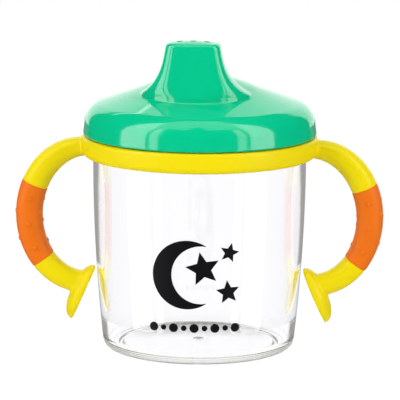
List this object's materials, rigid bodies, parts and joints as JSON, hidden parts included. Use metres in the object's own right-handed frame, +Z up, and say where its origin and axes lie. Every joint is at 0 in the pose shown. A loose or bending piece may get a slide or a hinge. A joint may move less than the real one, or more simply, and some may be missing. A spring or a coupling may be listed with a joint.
{
  "type": "sippy cup",
  "caption": "Toddler's training cup: clear tumbler, screw lid with a broad spout, and a turning ring with C-shaped handles and soft grips.",
  "frame": {"origin": "centre of the foot, on the surface that the cup stands on", "axes": "+Z up along the tumbler's axis, -Y toward the drinker's side with the spout, +X along the handles"},
  "size_m": [0.1296, 0.083, 0.111],
  "materials": {
    "clear_plastic": "clear, polished",
    "yellow_plastic": "satin moulded",
    "orange_rubber": "soft, matte",
    "green_plastic": "high gloss moulded",
    "seal_silicone": "translucent silicone",
    "valve_silicone": "translucent silicone"
  },
  "bodies": {
    "tumbler": {"tumbler": "clear_plastic"},
    "handles": {"handle_ring": "yellow_plastic", "left_grip": "orange_rubber", "right_grip": "orange_rubber"},
    "lid_seal": {"lid_seal": "seal_silicone"},
    "lid": {"lid": "green_plastic"},
    "spout_valve": {"spout_valve": "valve_silicone"}
  },
  "joints": [
    {"name": "handle_turn", "type": "hinge", "parent": "tumbler", "child": "handles", "pos_m": [0, 0, 0.072], "axis": [0, 0, 1], "continuous": true},
    {"name": "lid_lift", "type": "slide", "parent": "tumbler", "child": "lid_seal", "axis": [0, 0, 1], "range_m": [0, 0.0061]},
    {"name": "lid_turn", "type": "hinge", "parent": "lid_seal", "child": "lid", "pos_m": [0, 0, 0.08], "axis": [0, 0, 1], "range_deg": [0, 360]},
    {"name": "valve_pull", "type": "slide", "parent": "lid", "child": "spout_valve", "axis": [0, 0, -1], "range_m": [0, 0.02]}
  ],
  "couplings": [
    {"joint": "lid_lift", "follows": "lid_turn", "m_per_rad": 0.00095493}
  ]
}
